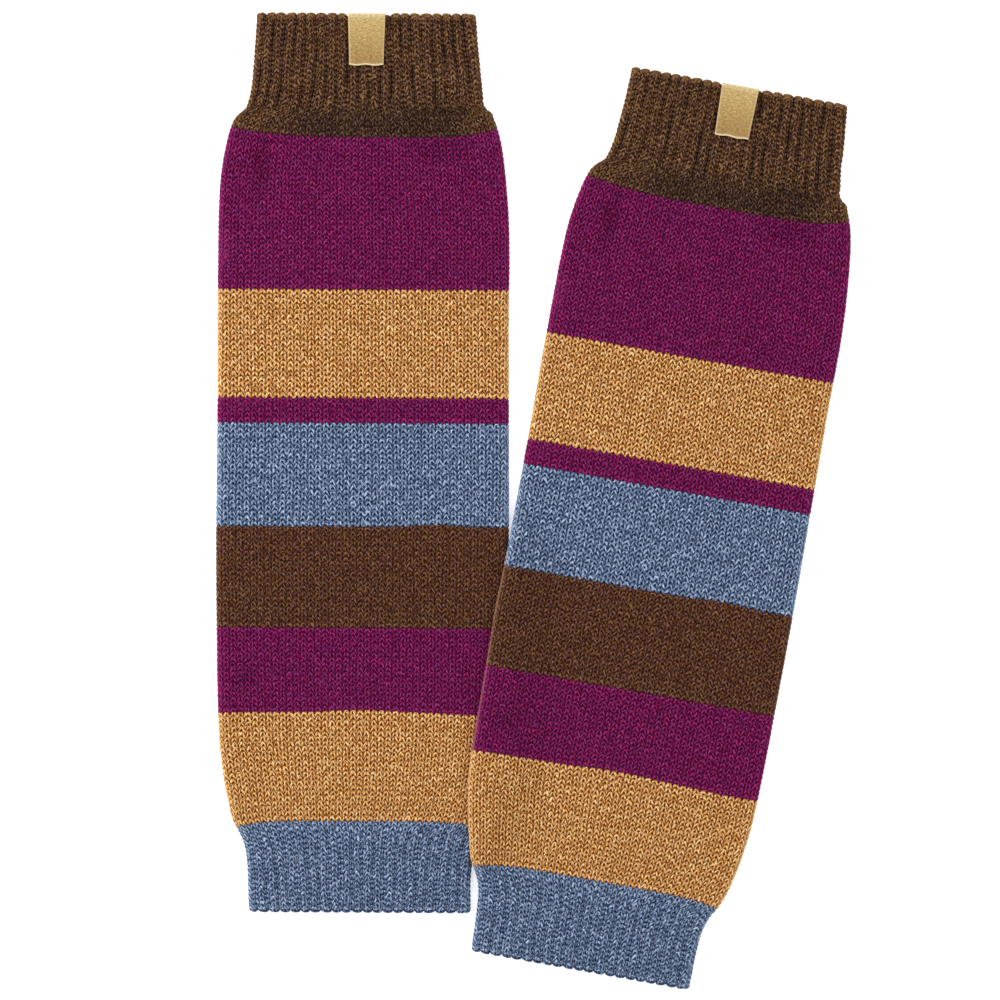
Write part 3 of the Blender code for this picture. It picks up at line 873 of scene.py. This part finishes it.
class Knit(Graph):
    """A yarn's nodes, with patterns that follow the stitches."""

    def __init__(self, name, seed):
        super().__init__(name)
        self.seed = seed
        self.wale, self.course = self.coordinates("knit")
        self.halves = self.times(self.wale, 2.0)
        turn = self.math("SINE", self.times(self.wale, math.pi))
        self.between = self.math("ABSOLUTE", turn)  # 1 between two wales
        self.cell = self.cells(self.place(CELL_GRAIN, seed))

    def place(self, grain, offset):
        """A place in a pattern of this grain."""
        across, down = self.times(self.wale, grain[0]), self.times(self.course, grain[1])
        return self.vector(across, down, offset)

    def spot(self, shift, size):
        """The squared distance, in spot radii, from the nearest of a grid of spots, one to each
        half wale and course: the pits at a shift of a half, and the legs' middles at 0."""
        parts = []
        for value, radius in zip((self.halves, self.course), size):
            part = self.math("FRACT", self.plus(value, shift))
            part = self.math("DIVIDE", self.math("SUBTRACT", part, 0.5), radius)
            parts.append(self.times(part, part))
        return self.plus(*parts)

    def pits(self, strength):
        """How dark the painted shade in the gaps of the knitting is, ragged as the yarn is."""
        ragged = self.noise(self.place(PIT_GRAIN, self.seed + 2), detail=0.0)
        smaller = self.times(self.between, PIT_BETWEEN)
        pit = self.plus(self.spot(0.5, PIT_SIZE), smaller, self.spread(ragged, PIT_RAGGED))
        return self.scaled(pit, strength, 0.0, *PIT_EDGE)

    def tone(self, grain, ridge, rim):
        """How light each bit of fibre is, with painted highlights on the legs' middles and the rims
        and painted shade between them.
        """
        stroke = self.scaled(self.spot(0.0, STROKE_SIZE), 1.0, 0.0, *STROKE_EDGE)
        tide = self.math("COSINE", self.times(self.course, 2 * math.pi))
        fine = self.noise(self.place(FINE_GRAIN, self.seed), detail=0.0)
        leg = self.math("FLOOR", self.halves), self.math("FLOOR", self.course)
        cloud = self.noise(self.place(CLOUD_GRAIN, self.seed + 4), detail=3.0)
        return self.plus(
            self.scaled(stroke, BASE_TONE, BASE_TONE + ridge),
            self.scaled(self.between, *WALE_TONES),
            self.times(tide, -COURSE_TONE),
            self.spread(self.cell[0], CELL_TONE * grain),
            self.spread(fine, GRAIN_TONE * grain),
            self.spread(self.white(self.vector(*leg, self.seed)), LEG_TONE),
            self.spread(cloud, CLOUD_TONE),
            self.scaled(rim, 0.0, RIM_TONE),
        )

    def flecks(self, k, share):
        """How much of the yarn's fleck number k each bit of fibre takes."""
        patch = self.noise(self.place(FLECK_GRAIN, self.seed + 6 + 3 * k), detail=3.0)
        ragged = self.spread(self.cell[1 + k], FLECK_RAGGED)
        patch = self.plus(self.scaled(patch, *FLECK_PATCH), ragged)
        return self.scaled(patch, 0.0, share, *FLECK_EDGE)

    def relief(self):
        """The twist of the plies and the fuzz."""
        turns = (self.times(self.wale, PLY_TWIST[0]), self.times(self.course, PLY_TWIST[1]))
        ply = self.times(self.math("SINE", self.plus(*turns)), PLY_HEIGHT)
        return self.plus(ply, self.noise(self.place(FUZZ_GRAIN, 0.0), detail=4.0))


def shaded(colour, amount):
    return tuple(channel * amount for channel in colour)


def yarn_material(name):
    """Wool yarn: each bit of fibre takes its own tone and fleck, with painted shade in the gaps of
    the stitches.
    """
    yarn = YARNS[name]
    knit = Knit(f"{name}_yarn", YARN_SEEDS[name])
    rim = knit.shade("rim")
    tone = knit.tone(yarn["grain"], yarn["ridge"], rim)
    fibres = (yarn["dark"], yarn["middle"], yarn["light"])
    colour = knit.ramp(tone, tuple(zip(FIBRE_TONES, fibres)))
    for k, fleck in enumerate(yarn["flecks"]):
        fibres = (shaded(fleck, FLECK_DARK), fleck, shaded(fleck, FLECK_LIGHT))
        flecked = knit.ramp(tone, tuple(zip(FIBRE_TONES, fibres)))
        colour = knit.mix(knit.flecks(k, yarn["fleck_share"]), colour, flecked)
    sparkle = knit.scaled(knit.cell[0], 0.0, yarn["sparkle"], SPARKLE_FROM, 1.0)
    colour = knit.mix(sparkle, colour, shaded(yarn["light"], SPARKLE))
    colour = knit.mix(1.0, colour, (1.0, 1.0, 1.0), "DARKEN")  # no fibre is paler than white
    if name == "cuff_brown":
        # Painted highlight and fuzz at the brown cuff's rims
        colour = knit.mix(knit.scaled(rim, 0.0, RIM_MIX), colour, RIM_FUZZ_HIGHLIGHT_COLOUR)
        # Painted shade in the middle of the flare
        flare = knit.mix(1.0, colour, FLARE_SHADE, "MULTIPLY")
        colour = knit.mix(knit.shade("flare"), colour, flare)
    # Painted shade in the hollows of the face
    colour = knit.mix(knit.scaled(knit.shade("hollow"), 0.0, HOLLOW_SHADE_MIX), colour, (0.0, 0.0, 0.0))
    # Painted shade in the stitches' pits, less at the rims, and in the ribs' grooves
    pits = knit.times(knit.pits(yarn["pit"]), knit.scaled(rim, 1.0, RIM_PIT))
    colour = knit.mix(pits, colour, yarn["deep"])
    colour = knit.mix(knit.shade("groove"), colour, yarn["deep"])
    # Painted highlight: the pale line where the right warmer's fold crosses the left one
    colour = knit.mix(knit.scaled(knit.shade("brink"), 0.0, BRINK_MIX), colour, BRINK_HIGHLIGHT_COLOUR)
    knit.surface({"Base Color": colour, "Sheen Tint": (*yarn["light"], 1), **WOOL})
    knit.bump(knit.relief(), *YARN_BUMP)
    return knit.material


# The label's colour from its top, 0, to its folded end, 1: painted light, paler where the tape
# turns over the edge and darker towards the end
LABEL_COLOURS = (
    (0.0, (0.72, 0.55, 0.27)),
    (0.14, (0.56, 0.39, 0.148)),
    (0.45, (0.49, 0.322, 0.112)),
    (0.95, (0.365, 0.210, 0.065)),
)
TAPE_EDGE_COLOUR = (0.88, 0.70, 0.40)
WEAVE_PITCH = (0.42, 0.30)  # of the warp and the weft, in mm
WEAVE_TONE = 0.1
TAPE_GRAIN = (0.75, 1.5)  # bits to a millimetre across and along
TAPE_TONES = (0.05, 1.95)
TAPE_BUMP = (0.5, 0.08 * MM)


def tape_material():
    """Gold satin label tape: a fine weave, a paler line along each selvedge, a painted highlight
    along each fold, and painted light down its length.
    """
    graph = Graph("label_tape_satin")
    places = graph.coordinates("tape")  # across and along, in millimetres
    warp, weft = (
        graph.math("SINE", graph.times(place, 2 * math.pi / pitch))
        for place, pitch in zip(places, WEAVE_PITCH)
    )
    bits = (graph.times(place, grain) for place, grain in zip(places, TAPE_GRAIN))
    grain = graph.scaled(graph.noise(graph.vector(*bits), detail=3.0), *TAPE_TONES)
    tone = graph.plus(grain, graph.times(graph.times(warp, weft), WEAVE_TONE))
    colour = graph.ramp(graph.shade("down"), LABEL_COLOURS)
    colour = graph.mix(1.0, colour, tone, "MULTIPLY")
    colour = graph.mix(graph.shade("pale"), colour, TAPE_EDGE_COLOUR)
    graph.surface({"Base Color": colour, "Roughness": 0.5, "Specular IOR Level": 0.3})
    graph.bump(graph.plus(warp, weft), *TAPE_BUMP)
    return graph.material


# Labels

TAPE_THICKNESS = 0.4 * MM
FOLD_RADIUS = 0.3 * MM
TUCK = 6 * MM  # how far the tape reaches into the mouth
TUCK_GAP = 0.3 * MM  # how far under the wall its middle lies there
TAPE_GAP = 0.25 * MM  # between the turned-up end and the ribs
TURN = 2.8 * MM  # how far down the tape's turn over the edge starts
TURN_PROUD = 0.4 * MM  # how far short of the mouth that turn stays
BELLY = 0.35 * MM  # how far the front bulges
FRONT_STEPS, BACK_STEPS = 14, 8
BACK_END = 4 * MM  # how far down the turned-up end reaches behind the front
TAPE_COLUMNS = 24
COLUMN_POWER = 0.8  # under 1 it moves the columns towards the selvedges
ARC_STEPS = 10
RIPPLE, RIPPLE_RUN = 0.12 * MM, 6 * MM
RIPPLE_FADE = 3 * MM
END_WAVE, END_WAVE_TURN = 0.22 * MM, 6  # the folded end isn't quite straight
TAPE_SEEDS = {"left": 5, "right": 6}
# The pale lines: how wide or how far in they are, and how soft. Those at the fold and the top are
# painted highlights.
SELVEDGE, SELVEDGE_SOFT, SELVEDGE_PALE = 0.7 * MM, 0.4 * MM, 0.55
FOLD_LINE, FOLD_SOFT = 0.3 * MM, 0.8 * MM
TOP_LINE, TOP_SOFT, TOP_HIGHLIGHT = 0.2 * MM, 3 * MM, 0.35


def arc(centre, radii, start, end):
    """Points (down, up) along part of an ellipse."""
    angles = np.linspace(start, end, ARC_STEPS + 1)
    return [
        (centre[0] + radii[0] * math.cos(a), centre[1] + radii[1] * math.sin(a)) for a in angles
    ]


def tape_path():
    """The tape's middle line as (down, up). It comes up from inside the mouth, turns over the
    edge, runs down over the ribs, folds and runs back up behind."""

    def crest(down):
        return 2 * WALL + slit(down) + RIB_RELIEF + FACE_CROWN

    hidden = TAPE_GAP + TAPE_THICKNESS / 2
    front = hidden + 2 * FOLD_RADIUS
    end = LABEL_LENGTH - TAPE_THICKNESS / 2 - FOLD_RADIUS
    low, high = WALL + slit(TURN) - TUCK_GAP, crest(TURN) + front
    path = [(TUCK, WALL + slit(TUCK) - TUCK_GAP)]
    middle, radii = (low + high) / 2, (TURN - TURN_PROUD, (high - low) / 2)
    path += arc((TURN, middle), radii, -math.pi / 2, -3 * math.pi / 2)
    for down in np.linspace(TURN + 1 * MM, end - 0.5 * MM, FRONT_STEPS):
        belly = BELLY * math.sin(math.pi * float(down) / end) ** 2
        path.append((down, crest(down) + front + belly))
    middle = crest(end) + (front + hidden) / 2
    path += arc((end, middle), (FOLD_RADIUS, FOLD_RADIUS), math.pi / 2, -math.pi / 2)
    for down in np.linspace(end - 2 * MM, BACK_END, BACK_STEPS):
        path.append((down, crest(down) + hidden))
    return np.array(path, float)


def label_piece(name, side, material):
    """One label: the tape along its path, a little narrower at its folded end."""
    path = tape_path()
    length = np.concatenate([[0], np.cumsum(np.linalg.norm(np.diff(path, axis=0), axis=1))])
    fold = length[np.argmax(path[:, 0])]
    seed = TAPE_SEEDS[side]
    shares = np.linspace(-1, 1, TAPE_COLUMNS + 1)
    shares = np.sign(shares) * np.abs(shares) ** COLUMN_POWER
    share, down = np.meshgrid(shares, path[:, 0])
    up = np.broadcast_to(path[:, 1:], share.shape)
    run = np.broadcast_to(length[:, None], share.shape)
    taper = np.clip(down / LABEL_LENGTH, 0, 1)
    width = LABEL_TOP_WIDTH + (LABEL_END_WIDTH - LABEL_TOP_WIDTH) * taper
    ripple = smooth_noise(share * 3 + 3, run / RIPPLE_RUN, 8, 12, seed)
    in_front = smoothstep((run - length[3]) / RIPPLE_FADE) * smoothstep((fold - run) / RIPPLE_FADE)
    up = up + RIPPLE * ripple * in_front
    across = LABEL_OFFSET + share * width / 2
    wave = END_WAVE * np.sin(END_WAVE_TURN * share + seed)
    down = down + wave * smoothstep(down / LABEL_LENGTH)
    x, y = to_world(across, LENGTH / 2 - down, PLACES[side])
    points = np.stack([x, y, up], axis=-1).reshape(-1, 3)
    rows, count = share.shape
    index = np.arange(rows * count).reshape(rows, count)
    faces = np.stack([index[:-1, :-1], index[:-1, 1:], index[1:, 1:], index[1:, :-1]], axis=-1)
    mesh = bpy.data.meshes.new(name)
    mesh.from_pydata(points.tolist(), [], faces.reshape(-1, 4).tolist())
    uvs = np.stack([share * width / 2 / MM, run / MM], axis=-1).reshape(-1, 2)
    selvedge = smoothstep((np.abs(share) * width / 2 - width / 2 + SELVEDGE) / SELVEDGE_SOFT)
    # Painted highlights along the folded end and along the turn at the top
    at_fold = smoothstep(1 - np.abs(run - fold + FOLD_LINE) / FOLD_SOFT)
    at_top = TOP_HIGHLIGHT * smoothstep(1 - np.abs(down - TOP_LINE) / TOP_SOFT)
    pale = np.maximum(SELVEDGE_PALE * selvedge, np.maximum(at_fold, at_top))
    shades = {"pale": pale, "down": down / LABEL_LENGTH}
    dress(mesh, material, shades, {"tape": uvs[faces.ravel()]})
    piece = add_object(name, mesh)
    shell = piece.modifiers.new("thickness", "SOLIDIFY")
    shell.thickness = TAPE_THICKNESS
    shell.offset = 0.0
    return piece, length[-1]


# Everything together

NODES = {"top_cuff_knit": "top_cuff", "bottom_cuff_knit": "bottom_cuff"}


def make_bands(side, materials):
    """A warmer's cuffs and bands, each in place of the CAD part that it hides."""
    for band, (part, yarn, _, _) in enumerate(BANDS):
        piece = knit_piece(f"{side}_{part}", side, band, materials[yarn])
        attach(piece, "root")
        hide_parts(f"{side}_{NODES.get(part, 'leg_tube')}")
        start, end = DOWN_MARKS[band : band + 2]
        middle = float(half_width((start + end) / 2))


def make_label(side, tape):
    """A warmer's label, in place of the CAD part that it hides."""
    label, length = label_piece(f"{side}_label_tape", side, tape)
    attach(label, "root")
    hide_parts(f"{side}_label")


make_camera()
studio()
make_floor()
yarns = {name: yarn_material(name) for name in YARNS}
tape = tape_material()
for side in PLACES:
    make_bands(side, yarns)
    make_label(side, tape)
